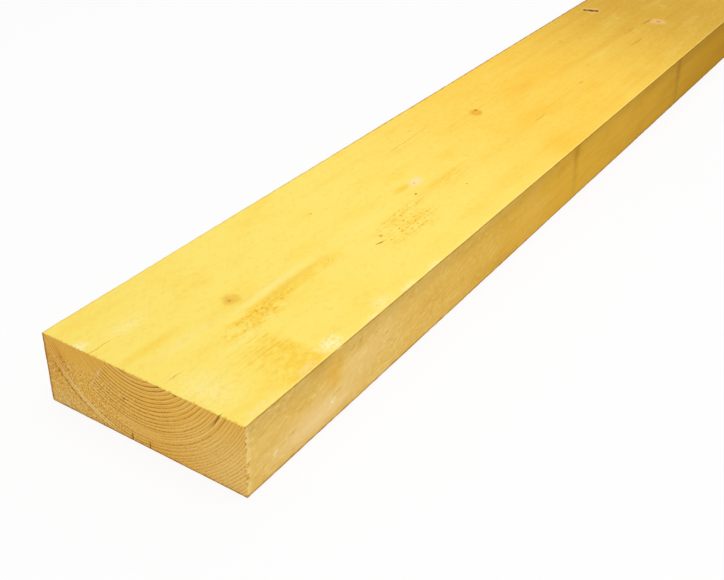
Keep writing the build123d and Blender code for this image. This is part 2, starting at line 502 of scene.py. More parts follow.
class NodeBench:
    """Places nodes in one tree and joins them, so that a finish reads as a list of steps."""

    def __init__(self, tree: bpy.types.NodeTree) -> None:
        """Works on this tree."""
        self.tree = tree

    def put(self, socket: Socket, source: Source) -> None:
        """Links a source socket to an input, or sets the input to a plain value.

        Args:
            socket: the input.
            source: what goes into it.
        """
        if isinstance(source, Socket):
            self.tree.links.new(source, socket)
        else:
            socket.default_value = source

    def node(
        self, kind: str, *inputs: Source, setting: Settings | None = None, **named: Source
    ) -> bpy.types.Node:
        """Adds a node.

        Args:
            kind: Blender's name for the node's type, after the ShaderNode that it starts with.
            inputs: what goes into its first sockets.
            setting: the node's own properties.
            named: what goes into other sockets, with underscores for the spaces in their names.

        Returns:
            The node.
        """
        made = self.tree.nodes.new("ShaderNode" + kind)
        for name, value in (setting or {}).items():
            setattr(made, name, value)
        for key, source in (*enumerate(inputs), *named.items()):
            self.put(made.inputs[key.replace("_", " ") if isinstance(key, str) else key], source)
        return made

    def math(self, operation: str, *values: Source, clamp: bool = False) -> Socket:
        """The result of a number operation, kept from 0 to 1 where it is clamped."""
        return self.node("Math", *values, setting={"operation": operation, "use_clamp": clamp}).outputs[0]

    def times(self, first: Source, *others: Source) -> Source:
        """The product of values."""
        return functools.reduce(functools.partial(self.math, "MULTIPLY"), others, first)

    def apart(self, first: Source, second: Source) -> Socket:
        """How far apart two values are."""
        return self.math("ABSOLUTE", self.math("SUBTRACT", first, second))

    def vector(self, operation: str, *values: Source) -> Socket:
        """The vector result of a vector operation."""
        return self.node("VectorMath", *values, setting={"operation": operation}).outputs["Vector"]

    def length(self, vector: Source) -> Socket:
        """The length of a vector."""
        return self.node("VectorMath", vector, setting={"operation": "LENGTH"}).outputs["Value"]

    def axes(self, vector: Source) -> tuple[Socket, ...]:
        """A vector's X, Y and Z."""
        return tuple(self.node("SeparateXYZ", vector).outputs)

    def fade(self, value: Source, none: float, full: float, low: float = 0.0, high: float = 1.0) -> Socket:
        """Eases from low to high as a value goes from none to full, whichever of those is larger."""
        eased = {"interpolation_type": "SMOOTHSTEP", "clamp": False}
        return self.node("MapRange", value, none, full, low, high, setting=eased).outputs[0]

    def mix(self, share: Source, low: Source, high: Source, way: str = "MIX") -> Socket:
        """Mixes two colours.

        Args:
            share: how much of the second.
            low, high: the first and the second.
            way: Blender's name for the way that they mix.

        Returns:
            The mix.
        """
        made = self.node("Mix", share, setting={"data_type": "RGBA", "blend_type": way})
        # The sockets for colours come after those for numbers and vectors.
        self.put(made.inputs[6], low)
        self.put(made.inputs[7], high)
        return made.outputs[2]

    def noise(self, place: Source, cell: Triple, detail: float = 2.0, rough: float = 0.5) -> Socket:
        """Cloudy values from 0 to 1, with cells of this size each way."""
        cells = self.vector("DIVIDE", place, cell)
        return self.node("TexNoise", Vector=cells, Scale=1.0, Detail=detail, Roughness=rough).outputs[0]

    def turned(self, place: Source, turn: Source) -> Socket:
        """A place turned by angles in radians round X, Y and Z."""
        return self.node("Mapping", Vector=place, Rotation=turn).outputs[0]

    def shape(self, place: Source, middle: Triple, size: Triple, turn: Triple = (0.0, 0.0, 0.0)) -> Socket:
        """Distance from an ellipsoid's middle, in its own sizes, so that its surface stands at 1."""
        places = {"Vector": place, "Location": middle, "Rotation": np.radians(turn).tolist(), "Scale": size}
        return self.length(self.node("Mapping", setting={"vector_type": "TEXTURE"}, **places).outputs[0])

    def ramp(self, value: Source, stops: Stops) -> Socket:
        """Levels that run straight from stop to stop.

        Args:
            value: where on the ramp, from 0 to 1.
            stops: pairs of a place on it and the level there.

        Returns:
            The level.
        """
        made = self.node("ValToRGB", value)
        elements = made.color_ramp.elements
        while len(elements) < len(stops):
            elements.new(1.0)
        for element, (place, level) in zip(elements, stops):
            element.position = place
            element.color = (level, level, level, 1.0)
        return made.outputs[0]

    def curve(self, value: Source, stops: Stops) -> Socket:
        """As a ramp, with finer steps. The stops start at 0, 0 and end at 1, 1, as a new curve does.

        Args:
            value: where on the curve, from 0 to 1.
            stops: pairs of a place on it and the level there.

        Returns:
            The level.
        """
        made = self.node("FloatCurve", Value=value)
        points = made.mapping.curves[0].points
        for stop in stops[1:-1]:
            points.new(*stop)
        for point in points:
            point.handle_type = "VECTOR"
        made.mapping.update()
        return made.outputs[0]


class Effect(NodeBench):
    """A shader node group with named sockets, and the bench to fill it."""

    kinds = {"VALUE": "NodeSocketFloat", "VECTOR": "NodeSocketVector"}

    def __init__(self, name: str, inputs: dict[str, str]) -> None:
        """Makes the group with its inputs.

        Args:
            name: the group's name.
            inputs: what its input sockets are called, with the type of value that each takes.
        """
        super().__init__(bpy.data.node_groups.new(name, "ShaderNodeTree"))
        for label, kind in inputs.items():
            self.tree.interface.new_socket(label, in_out="INPUT", socket_type=self.kinds[kind])
        self.given = self.tree.nodes.new("NodeGroupInput").outputs

    def give(self, **sources: Socket) -> bpy.types.NodeTree:
        """Makes the group's outputs.

        Args:
            sources: what each puts out, by name with underscores for spaces.

        Returns:
            The finished group.
        """
        for label, source in sources.items():
            kind = self.kinds[source.type]
            self.tree.interface.new_socket(label.replace("_", " "), in_out="OUTPUT", socket_type=kind)
        for socket, source in zip(self.tree.nodes.new("NodeGroupOutput").inputs, sources.values()):
            self.put(socket, source)
        return self.tree


class WoodEffects:
    """The node groups that the plank's finishes share."""

    # Cells of the patterns each way, and how far the grain wanders
    wander_cell = (5.0, 11.0, 5.0)
    wander_size = (4.0, 9.0, 4.0)
    fuzz_cell = (3.0, 4.5, 3.0)
    slow_cell = (60.0, 420.0, 60.0)
    fine_cell = (7.0, 170.0, 7.0)
    patchy_cell = (12.0, 60.0, 12.0)
    band_cell = (1.3, 34.0, 180.0)
    fibre_cell = (0.9, 36.0, 0.9)
    streak_cell = (13.0, 280.0, 13.0)
    cloud_cell = (26.0, 80.0, 26.0)
    mottle_cell = (4.5, 8.0, 4.5)
    saw_cell = (40.0, 24.0, 2.4)
    # Levels of the dark and the pale wood through a year's growth
    late_wood = ((0.0, 0.0), (0.6, 0.0), (0.72, 0.5), (0.8, 1.0), (0.93, 1.0), (0.99, 0.0))
    early_wood = ((0.0, 0.3), (0.05, 1.0), (0.2, 1.0), (0.32, 0.1), (0.5, 0.0), (1.0, 0.3))

    def __init__(self, log: Log, length: float) -> None:
        """Builds each group once.

        Args:
            log: where the growth rings are centred and how they are spaced.
            length: the plank's length.
        """
        self.place = self._place(length)
        self.rings = self._rings(log)
        self.sawn = self._sawn()

    def _place(self, length: float) -> bpy.types.NodeTree:
        """Where a point is in the wood, in millimetres, plain and with the small wander of real grain.

        Args:
            length: the plank's length.

        Returns:
            The group, which also gives the wandering place's axes, the distance from an end and loose fibre.
        """
        group = Effect("wood_place", {})
        metres = group.node("TexCoord").outputs["Object"]
        place = group.vector("MULTIPLY_ADD", metres, (1 / MM,) * 3, (0.0, length / 2, 0.0))
        cells = group.vector("DIVIDE", place, self.wander_cell)
        cloudy = group.node("TexNoise", Vector=cells, Scale=1.0, Detail=4.0).outputs["Color"]
        wobble = group.vector("SUBTRACT", cloudy, (0.5, 0.5, 0.5))
        wandering = group.vector("ADD", place, group.vector("MULTIPLY", wobble, self.wander_size))
        across, along, height = group.axes(wandering)
        from_near = group.axes(place)[1]
        inwards = group.math("MINIMUM", from_near, group.math("SUBTRACT", length, from_near))
        fuzz = group.fade(group.noise(place, self.fuzz_cell, 4, 0.7), 0.34, 0.6)
        return group.give(Place=place, Wandering=wandering, Across=across, Along=along, Height=height,
                          End_Distance=inwards, Fuzz=fuzz)

    def _rings(self, log: Log) -> bpy.types.NodeTree:
        """Growth rings round the heart: the ring count follows the radius along a curve of yearly growth.

        Each ring darkens into a thin line of latewood and starts again pale, with its own strength, and finer
        bands of no set width lie between.

        Args:
            log: where the rings are centred and how they are spaced.

        Returns:
            The group, whose Wander is how far a ring strays from its ellipse.
        """
        group = Effect("growth_rings", {"Place": "VECTOR", "Wander": "VALUE"})
        place, wander = group.given["Place"], group.given["Wander"]
        across, along, height = group.axes(place)
        beside = group.math("DIVIDE", group.math("SUBTRACT", across, log.heart_across), log.roundness)
        below = group.math("SUBTRACT", log.heart_height, height)
        slow = group.math("SUBTRACT", group.noise(place, self.slow_cell, 1), 0.5)
        fine = group.math("SUBTRACT", group.noise(place, self.fine_cell, 3, 0.6), 0.5)
        ellipse = group.length(group.node("CombineXYZ", beside, below).outputs[0])
        radius = group.math("MULTIPLY_ADD", group.math("MULTIPLY_ADD", fine, 0.5, slow), wander, ellipse)
        counts = np.array(log.ring_counts)
        first, span = counts[0], counts[-1] - counts[0]
        share = group.math("DIVIDE", group.math("SUBTRACT", radius, first[0]), span[0], clamp=True)
        count = group.times(group.curve(share, ((counts - first) / span).tolist()), span[1])
        year = group.math("FRACT", count)
        one_axis = {"noise_dimensions": "1D"}
        chance = group.node("TexWhiteNoise", W=group.math("FLOOR", count), setting=one_axis).outputs["Color"]
        dark_chance, pale_chance, _ = group.axes(chance)
        patchy = group.fade(group.noise(place, self.patchy_cell, 3), 0.3, 0.6, 0.5, 1.0)
        late = group.ramp(year, self.late_wood)
        early = group.ramp(year, self.early_wood)
        dark = group.times(late, group.fade(dark_chance, 0.0, 0.8, 0.6, 1.0), patchy)
        pale = group.times(early, group.fade(pale_chance, 0.0, 0.9, 0.5, 1.0), patchy)
        unrolled = group.node("CombineXYZ", radius, across, along).outputs[0]
        bands = group.noise(unrolled, self.band_cell, 3, 0.6)
        return group.give(Dark_Line=dark, Pale_Line=pale, Bands=bands, Radius=radius)

    def _sawn(self) -> bpy.types.NodeTree:
        """Fine fibre, long streaks and cloudy stain along the grain, and the slanting strokes of the saw.

        Returns:
            The group, whose Saw Turn is the slant of the strokes.
        """
        group = Effect("sawn_surface", {"Place": "VECTOR", "Saw Turn": "VECTOR"})
        place = group.given["Place"]
        return group.give(
            Fibre=group.noise(place, self.fibre_cell, 4, 0.65),
            Streak=group.noise(place, self.streak_cell),
            Cloud=group.noise(place, self.cloud_cell, 4, 0.55),
            Mottle=group.noise(place, self.mottle_cell, 3, 0.6),
            Saw=group.noise(group.turned(place, group.given["Saw Turn"]), self.saw_cell, 3, 0.6),
        )


class WoodFinish(NodeBench):
    """A finish of the plank: it reads the wood's patterns and paints a colour in steps for a matt shader."""

    name = "wood"
    roughness = 0.74
    roughness_swing = 0.1
    shine = 0.1
    bump = 0.35
    bump_depth = 0.5
    ring_wander = 10.0
    saw_turn: Triple = (0.0, 0.0, 0.0)
    fuzz_depth = 0.6

    def __init__(self, effects: WoodEffects, plank: "Plank") -> None:
        """Makes the material and reads where its points are.

        Args:
            effects: the node groups that hold the patterns.
            plank: what is dressed.
        """
        self.material = bpy.data.materials.new(self.name)
        self.material.use_nodes = True
        super().__init__(self.material.node_tree)
        self.effects = effects
        self.top = plank.thickness
        self.half = plank.width / 2
        self.colour: Source = LIGHT_STAIN
        place = self.read(effects.place)
        self.place, self.wandering, self.across, self.along, self.height, self.inwards, self.fuzz = place

    def read(self, group: bpy.types.NodeTree, **inputs: Source) -> Outputs:
        """Places a node group, and returns what it puts out."""
        return self.node("Group", setting={"node_tree": group}, **inputs).outputs

    @functools.cached_property
    def rings(self) -> Outputs:
        """What the growth rings are at each point."""
        return self.read(self.effects.rings, Place=self.place, Wander=self.ring_wander)

    @functools.cached_property
    def sawn(self) -> Outputs:
        """What the sawn surface is at each point."""
        return self.read(self.effects.sawn, Place=self.place, Saw_Turn=self.saw_turn)

    @staticmethod
    def inside(edge: float, reaches: Limits) -> list[float]:
        """Places at these distances inwards from an edge, which may stand on either side of the middle."""
        return [edge - math.copysign(reach, edge) for reach in reaches]

    def lay(self, tint: Tint, share: Source) -> None:
        """Lays a tint. A dye's own colour, to the power of its share, multiplies what is under it.

        Args:
            tint: which tint.
            share: how much of it.
        """
        if tint.covers:
            self.colour = self.mix(share, self.colour, seen(*tint.value))
        else:
            dye = self.node("Gamma", tint.dye, share).outputs[0]
            self.colour = self.mix(1.0, self.colour, dye, "MULTIPLY")

    def tinge(self, tint: Tint, value: Source, none: float, full: float, share: Source) -> None:
        """Lays a tint where a value eases from none to full, up to a share."""
        self.lay(tint, self.times(self.fade(value, none, full), share))

    def mark(self, marks: Sequence[Mark]) -> None:
        """Lays marks: the distance from a mark's middle gives its share, and loose fibre adds to it.

        Args:
            marks: what to lay, in order.
        """
        for mark in marks:
            middle = (mark.across, mark.along, mark.height)
            distance = self.shape(self.wandering, middle, mark.size, mark.turn)
            if mark.fuzzy:
                distance = self.math("ADD", distance, self.fade(self.fuzz, 1.0, 0.0, 0.0, self.fuzz_depth))
            if mark.hollow:
                share = self.fade(self.apart(distance, 1.0 - mark.edge), mark.edge, 0.0, 0.0, mark.strength)
            else:
                share = self.fade(distance, 1.0, 1.0 - mark.edge, 0.0, mark.strength)
            self.lay(mark.tint, share)

    def shaded(self, relief: Source, roughness: Source) -> bpy.types.Material:
        """Joins what is painted to the shader.

        Args:
            relief: heights from 0 to 1 for the bumped normal.
            roughness: the shader's roughness.

        Returns:
            The finished material.
        """
        bumped = self.node("Bump", Height=relief, Strength=self.bump, Distance=self.bump_depth * MM)
        shader = self.tree.nodes["Principled BSDF"].inputs
        self.put(shader["Base Color"], self.colour)
        self.put(shader["Specular IOR Level"], self.shine)
        self.put(shader["Roughness"], roughness)
        self.put(shader["Normal"], bumped.outputs[0])
        return self.material

    def dulled(self, fibre: Source) -> Socket:
        """A roughness that varies a little with the fibre."""
        swing = self.roughness_swing
        return self.fade(fibre, 0.2, 0.8, self.roughness - swing, self.roughness + swing)


class StainedFinish(WoodFinish):
    """A finish of a long face, with a stain that deepens away from the ends, partly as painted shade of light
    falling off along the plank.
    """

    light: Colour = LIGHT_STAIN
    warm: Colour = LIGHT_STAIN
    deep: Colour = LIGHT_STAIN
    warm_from = 0.0
    deep_from = 0.0
    deep_to = 0.0

    def stain_and_falloff_shade(self) -> None:
        """Lays the stain, light at the ends, warm further in and deep in the middle: partly real stain,
        partly painted shade of light falling off away from the ends.
        """
        warmer = self.mix(self.fade(self.inwards, self.warm_from, self.deep_from), self.light, self.warm)
        self.colour = self.mix(self.fade(self.inwards, self.deep_from, self.deep_to), warmer, self.deep)

    def grain(self) -> Source:
        """Relief that is half fine fibre and half mottle."""
        return self.times(self.math("ADD", self.sawn["Fibre"], self.sawn["Mottle"]), 0.5)


class BroadFinish(StainedFinish):
    """The stained top and underside."""

    name = "stained_broad_face"
    # Deeper towards the middle: partly stain, partly painted shade of light falling off along the plank
    warm = seen(253, 209, 80)
    deep = seen(217, 170, 55)
    warm_from = 310.0
    deep_from = 800.0
    deep_to = 1250.0
    saw_turn = (math.radians(90.0), math.radians(-53.0), 0.0)
    # Distances from an end between which the grain and the painted shade on the left arris darken
    grain_reach = (250.0, 1000.0)
    arris_shade_reach = (150.0, 1000.0)
    # Distances from an arris or an end where a line starts and where it is full, and what loose fibre adds:
    # painted highlight on the right arris, painted shade on the left one, brown at the ends
    arris_highlight = (3.0, 0.5)
    arris_shade = (3.5, 1.0)
    brown_end = (3.0, 0.5)
    brown_fray = 3.0
    # Limits of the scuff, each with the place for nothing and the place for all of it
    scuff_start = (45.0, 100.0)
    scuff_stop = (120.0, 108.0)
    scuff_height = (60.0, 70.0)
    wash_across = (38.0, 80.0)
    comb_start = (34.0, 44.0)
    comb_stop = (88.0, 70.0)
    dot_cell = (2.2, 3.0, 30.0)
    crumb_cell = (2.2, 4.2, 40.0)
    clump_cell = (9.0, 20.0, 40.0)
    patch_depth = 30.0

    def made(self) -> bpy.types.Material:
        """Yellow stain, deeper away from the ends partly as painted shade, with clouds, streaks, saw strokes,
        the scuff, marks, torn grain with painted highlight, painted highlight and shade on the arrises and
        brown ends.

        Returns:
            The material.
        """
        cloud, mottle, streak, fibre = (self.sawn[name] for name in ("Cloud", "Mottle", "Streak", "Fibre"))
        lines = self.rings["Dark Line"]
        self.stain_and_falloff_shade()
        self.tinge(Tint.ORANGE, cloud, 0.48, 0.78, 0.24)
        self.tinge(Tint.STRAW, cloud, 0.48, 0.26, 0.14)
        self.tinge(Tint.AMBER, mottle, 0.52, 0.7, 0.11)
        self.tinge(Tint.STRAW, mottle, 0.48, 0.3, 0.14)
        self.tinge(Tint.AMBER, self.sawn["Saw"], 0.5, 0.7, 0.05)
        grain = self.fade(self.inwards, *self.grain_reach, 0.05, 0.15)
        self.tinge(Tint.AMBER, streak, 0.5, 0.72, grain)
        self.tinge(Tint.STRAW, streak, 0.48, 0.3, self.times(grain, 0.4))
        self.tinge(Tint.AMBER, lines, 0.1, 0.9, self.times(grain, 0.5))
        self.tinge(Tint.AMBER, fibre, 0.5, 0.78, self.times(grain, 0.4))
        self.scuff(lines, mottle)
        self.mark(TOP_MARKS + UNDERSIDE_MARKS)
        plucked = self.tear(lines)
        self.edge()
        return self.shaded(self.math("SUBTRACT", self.grain(), plucked), self.dulled(fibre))

    def scuff(self, lines: Source, mottle: Source) -> None:
        """Lays the scuff by the near right corner, where a slipped saw has laid the growth rings bare.

        It is an orange wash that grows along the plank and stops short, combed by the lines of the rings.

        Args:
            lines: the dark lines of the rings.
            mottle: what breaks up the scuff.
        """
        along = self.times(self.fade(self.along, *self.scuff_start), self.fade(self.along, *self.scuff_stop))
        bared = self.times(along, self.fade(self.height, *self.scuff_height))
        wash = self.times(bared, self.fade(self.across, *self.wash_across, 0.0, 0.55))
        self.lay(Tint.ORANGE, self.times(wash, self.fade(mottle, 0.34, 0.6, 0.5, 1.2)))
        comb = self.times(self.fade(self.across, *self.comb_start), self.fade(self.across, *self.comb_stop))
        broken = self.times(bared, comb, self.fade(mottle, 0.38, 0.6, 0.05, 0.32))
        self.tinge(Tint.AMBER, lines, 0.1, 0.8, broken)

    def tear(self, lines: Source) -> Source:
        """Lays the torn patches: dots along the rings, loose crumbs in clumps, and raised pale fibre as
        painted highlight.

        Args:
            lines: the dark lines of the rings.

        Returns:
            How much of each point is plucked out.
        """
        dots = self.fade(self.noise(self.wandering, self.dot_cell, 1), 0.55, 0.64)
        on_rings = self.times(self.fade(lines, 0.2, 0.6), dots)
        crumbs = self.noise(self.wandering, self.crumb_cell, 2, 0.6)
        clumps = self.fade(self.noise(self.wandering, self.clump_cell), 0.38, 0.56)
        loose = self.times(self.fade(crumbs, 0.54, 0.72), clumps)
        fluff_highlight = self.fade(crumbs, 0.46, 0.36)
        plucked, raised_fibre_highlight, worn = 0.0, 0.0, 0.0
        for patch in TORN_PATCHES:
            size = (patch.half_across, patch.half_along, self.patch_depth)
            distance = self.shape(self.wandering, (patch.across, patch.along, self.top), size)
            inside = self.fade(distance, 1.0, 0.35, 0.0, patch.strength)
            pulled = self.math("MAXIMUM", self.times(on_rings, patch.rows), self.times(loose, patch.loose))
            plucked = self.math("MAXIMUM", self.times(pulled, inside), plucked)
            raised_fibre_highlight = self.math("MAXIMUM", self.times(fluff_highlight, inside), raised_fibre_highlight)
            worn = self.math("MAXIMUM", self.times(clumps, patch.loose, inside), worn)
        self.lay(Tint.ORANGE, self.times(worn, 0.95))
        # Raised pale fibre as painted highlight beside the torn grain
        self.lay(Tint.STRAW, self.times(raised_fibre_highlight, 0.5))
        self.lay(Tint.BROWN, self.times(plucked, 0.8))
        return plucked

    def edge(self) -> None:
        """Lays a painted highlight as a thin pale line on the right arris, painted shade as a dark one on the
        left and a brown one at the ends.
        """
        self.tinge(Tint.STRAW, self.across, *self.inside(self.half, self.arris_highlight), 0.5)
        # Painted shade on the left arris, stronger away from the ends
        arris_shade_share = self.fade(self.inwards, *self.arris_shade_reach, 0.1, 0.8)
        self.tinge(Tint.UMBER, self.across, *self.inside(-self.half, self.arris_shade), arris_shade_share)
        frayed = self.math("MULTIPLY_ADD", self.fuzz, self.brown_fray, self.inwards)
        self.tinge(Tint.BROWN, frayed, *self.brown_end, 0.35)


class NarrowFinish(StainedFinish):
    """The stained edges."""

    name = "stained_narrow_face"
    bump = 0.4
    # Deeper towards the middle: partly stain, partly painted shade of light falling off along the plank
    light = seen(238, 198, 106)
    warm = seen(229, 179, 52)
    deep = seen(200, 148, 0)
    warm_from = 60.0
    deep_from = 640.0
    deep_to = 1250.0
    saw_turn = (math.radians(-14.0), 0.0, 0.0)
    # Distances from an end between which bare fibre and dashes of fibre grow
    bare_reach = (700.0, 120.0)
    dash_reach = (560.0, 120.0)
    # Distances from the top or the bottom where shade and the dark lines of painted shade under the top arris
    # and along the bottom start and where they are full
    shade_reach = (26.0, 4.0)
    under_arris_shade = (3.5, 1.0)
    floor_contact_shade = (4.0, 0.8)
    # The same from an end for the pale fringe and the brown line, and what loose fibre adds
    fringe_reach = (1.0, -2.0)
    fringe_fray = -7.0
    brown_end = (4.5, 2.0)
    brown_fray = 4.0
    dash_cell = (1.3, 9.0, 1.3)
    patch_cell = (40.0, 60.0, 22.0)

    def made(self) -> bpy.types.Material:
        """Tan stain, deeper away from the ends partly as painted shade, with loose pale fibre, faint saw
        strokes, marks, and painted shade as dark lines at the top and bottom.

        Returns:
            The material.
        """
        cloud, mottle, saw = (self.sawn[name] for name in ("Cloud", "Mottle", "Saw"))
        self.stain_and_falloff_shade()
        bare = self.fade(self.inwards, *self.bare_reach, 0.02, 0.3)
        self.tinge(Tint.CREAM, cloud, 0.48, 0.3, bare)
        self.tinge(Tint.OLIVE, cloud, 0.5, 0.7, 0.16)
        self.tinge(Tint.OLIVE, mottle, 0.52, 0.7, 0.12)
        self.tinge(Tint.CREAM, mottle, 0.48, 0.3, bare)
        self.tinge(Tint.OLIVE, self.rings["Dark Line"], 0.1, 0.9, 0.06)
        self.tinge(Tint.OLIVE, self.sawn["Streak"], 0.5, 0.75, 0.12)
        self.tinge(Tint.CREAM, saw, 0.52, 0.74, self.times(bare, 0.5))
        self.tinge(Tint.OLIVE, saw, 0.46, 0.28, 0.12)
        self.tinge(Tint.SHADE, self.height, *self.inside(self.top, self.shade_reach), 0.24)
        self.mark(SIDE_MARKS)
        self.fray()
        # Painted shade: a dark line along the bottom where the plank meets the floor, and one under the top
        # arris
        self.tinge(Tint.UMBER, self.height, *self.floor_contact_shade, 0.5)
        self.tinge(Tint.UMBER, self.height, *self.inside(self.top, self.under_arris_shade), 0.3)
        return self.shaded(self.grain(), self.dulled(self.sawn["Fibre"]))

    def fray(self) -> None:
        """Lays dashes of raised fibre in patches towards the ends, and a frayed fringe at the corners."""
        dashes = self.noise(self.turned(self.place, self.saw_turn), self.dash_cell, 2, 0.6)
        patches = self.fade(self.noise(self.place, self.patch_cell), 0.4, 0.58)
        share = self.times(patches, self.fade(self.inwards, *self.dash_reach, 0.04, 0.55))
        self.tinge(Tint.STRAW, dashes, 0.56, 0.66, share)
        self.tinge(Tint.OLIVE, dashes, 0.42, 0.33, share)
        fringe = self.math("MULTIPLY_ADD", self.fuzz, self.fringe_fray, self.inwards)
        self.tinge(Tint.CREAM, fringe, *self.fringe_reach, 0.35)
        frayed = self.math("MULTIPLY_ADD", self.fuzz, self.brown_fray, self.inwards)
        self.tinge(Tint.BROWN, frayed, *self.brown_end, 0.6)


class EndFinish(WoodFinish):
    """The sawn ends, with the growth rings in full view."""

    name = "sawn_end"
    body = seen(244, 189, 78)
    ring_wander = 1.8
    # Radii between which the clear ring starts and stops, and those of the pale pair and the dotted ring
    clear_start = (117.9, 119.1)
    clear_stop = (132.0, 130.0)
    pale_ring = 140.6
    pale_half = 1.5
    pale_blur = (0.95, 0.35)
    dotted_ring = 145.6
    dotted_blur = (1.5, 0.4)
    # Places across the end, and one up it, between which a pattern grows to its full share
    pale_across = (0.0, 50.0)
    dark_across = (50.0, 0.0)
    outer_across = (-70.0, -10.0)
    clear_across = (45.0, 10.0)
    rough_across = (10.0, -60.0)
    rough_height = (62.0, 44.0)
    pair_start = (-22.0, -48.0)
    pair_stop = (-98.0, -66.0)
    dots_start = (-56.0, -80.0)
    dots_stop = (-106.0, -96.0)
    # Distances from the left and the bottom where a dark rim starts and where it is full; the bottom one is
    # painted shade
    left_rim = (4.0, 1.0)
    bottom_shade_rim = (3.0, 0.6)
    # The ray that the rings are quiet to the left of: its slope, foot, leftmost place and blur
    ray_slope = 0.631
    ray_foot = -83.5
    ray_stop = -57.0
    ray_blur = (-3.0, 3.0)
    speckle_cell = (1.8, 6.0, 1.8)
    blob_cell = (2.3, 6.0, 2.3)

    def made(self) -> bpy.types.Material:
        """Growth rings in thin dark and pale lines, quiet at the left and loud elsewhere, on speckled tan,
        with painted shade towards the top left, along the bottom and in the cracks.

        Returns:
            The material.
        """
        bands, lines = self.rings["Bands"], self.rings["Dark Line"]
        self.colour = self.body
        self.tinge(Tint.BROWN, bands, 0.5, 0.7, 0.24)
        self.tinge(Tint.HONEY, bands, 0.48, 0.3, 0.5)
        self.mark(END_MARKS)
        loud = self.loudness()
        pale = self.times(loud, self.fade(self.across, *self.pale_across, 0.72, 1.0))
        self.tinge(Tint.HONEY, self.rings["Pale Line"], 0.0, 1.0, pale)
        speckle = self.noise(self.place, self.speckle_cell, 2, 0.6)
        dark = self.times(loud, self.fade(self.across, *self.dark_across, 0.3, 0.64))
        self.tinge(Tint.UMBER, lines, 0.0, 1.0, self.times(dark, self.fade(speckle, 0.36, 0.6, 0.6, 1.15)))
        to_left = self.fade(self.across, *self.rough_across, 0.26, 1.0)
        rough = self.times(to_left, self.fade(self.height, *self.rough_height, 0.14, 1.0))
        self.tinge(Tint.UMBER, speckle, 0.54, 0.68, self.times(rough, 0.65))
        blobs = self.noise(self.wandering, self.blob_cell, 2, 0.6)
        self.tinge(Tint.CREAM, blobs, 0.48, 0.36, self.times(rough, 0.7))
        self.ring_left()
        left_rim = self.fade(self.across, *self.inside(-self.half, self.left_rim))
        left_line_and_bottom_shade = self.math("MAXIMUM", left_rim, self.fade(self.height, *self.bottom_shade_rim))
        # A dark line down the left edge, and painted shade along the bottom
        self.lay(Tint.UMBER, self.times(left_line_and_bottom_shade, 0.5))
        return self.shaded(self.math("MULTIPLY_ADD", lines, -0.4, speckle), self.dulled(speckle))

    def loudness(self) -> Source:
        """How strongly the rings show: little left of a ray and in the clear ring, fully elsewhere.

        Returns:
            A share from 0 to 1.
        """
        radius = self.rings["Radius"]
        sloped = self.math("MULTIPLY_ADD", self.height, self.ray_slope, self.ray_foot)
        past_ray = self.math("SUBTRACT", self.across, self.math("MAXIMUM", sloped, self.ray_stop))
        inner = self.fade(past_ray, *self.ray_blur, 0.12, 1.0)
        outer = self.fade(self.across, *self.outer_across, 0.45, 0.9)
        inside = self.fade(radius, *self.clear_stop)
        both = self.math("MULTIPLY_ADD", inside, self.math("SUBTRACT", inner, outer), outer)
        outside = self.fade(radius, *self.clear_start)
        clear = self.times(outside, inside, self.fade(self.across, *self.clear_across, 0.0, 0.85))
        return self.times(both, self.math("SUBTRACT", 1.0, clear))

    def ring_left(self) -> None:
        """Lays the pair of pale rings low on the left, and the dotted dark one outside them."""
        radius = self.rings["Radius"]
        pair = self.apart(self.apart(radius, self.pale_ring), self.pale_half)
        across, fuzz = self.across, self.fuzz
        sector = self.times(self.fade(across, *self.pair_start), self.fade(across, *self.pair_stop, 0.2, 1.0))
        broken = self.times(sector, self.fade(fuzz, 0.0, 0.6, 0.75, 1.0))
        self.tinge(Tint.CREAM, pair, *self.pale_blur, broken)
        left = self.times(self.fade(across, *self.dots_start, 0.1, 0.8), self.fade(across, *self.dots_stop))
        dots = self.times(left, self.fade(fuzz, 0.45, 0.8))
        self.tinge(Tint.UMBER, self.apart(radius, self.dotted_ring), *self.dotted_blur, dots)


class SplitFinish(WoodFinish):
    """Dark brown inside cracks and behind the dead knot's bark, as painted shade of these hollows."""

    name = "split_wood"
    bump = 0.3
    bump_depth = 0.4
    # Painted shade: the dark browns of the hollows
    dark = seen(96, 58, 12)
    dusty_shade = seen(144, 92, 28)
    dust_cell = (1.5, 4.0, 1.5)

    def made(self) -> bpy.types.Material:
        """Dark brown painted shade, with paler dust.

        Returns:
            The material.
        """
        dust = self.noise(self.place, self.dust_cell, 3)
        self.colour = self.mix(self.fade(dust, 0.45, 0.75), self.dark, self.dusty_shade)
        return self.shaded(dust, self.roughness)


def outward(quarters: Union[float, np.ndarray]) -> np.ndarray:
    """Directions in the section, by quarter turns clockwise from straight up as seen from the near end."""
    angle = np.asarray(quarters) * math.pi / 2
    return np.stack([np.sin(angle), np.cos(angle)], axis=-1)


@dataclass(frozen=True)
class Grid:
    """The lattice of the skin: columns round the section, by rows from one end's middle to the other's.

    A crack has three columns, which are its two lips with its root between them, and the dead knot's crescent
    has three rows. Crack numbers count through all cracks, crescent numbers from 0 to 2, and both are -1
    elsewhere.
    """

    length: float
    outline: np.ndarray
    facing: np.ndarray
    sides: np.ndarray
    crack: np.ndarray
    along: np.ndarray
    inset: np.ndarray
    crescent: np.ndarray

    @property
    def on_top(self) -> np.ndarray:
        """Whether each column lies on the top face."""
        return self.sides == Side.TOP

    @property
    def on_near(self) -> np.ndarray:
        """Whether each row lies on the near end."""
        return self.along <= 0.0

    @property
    def on_end(self) -> np.ndarray:
        """Whether each row lies on an end."""
        return self.on_near | (self.along >= self.length)


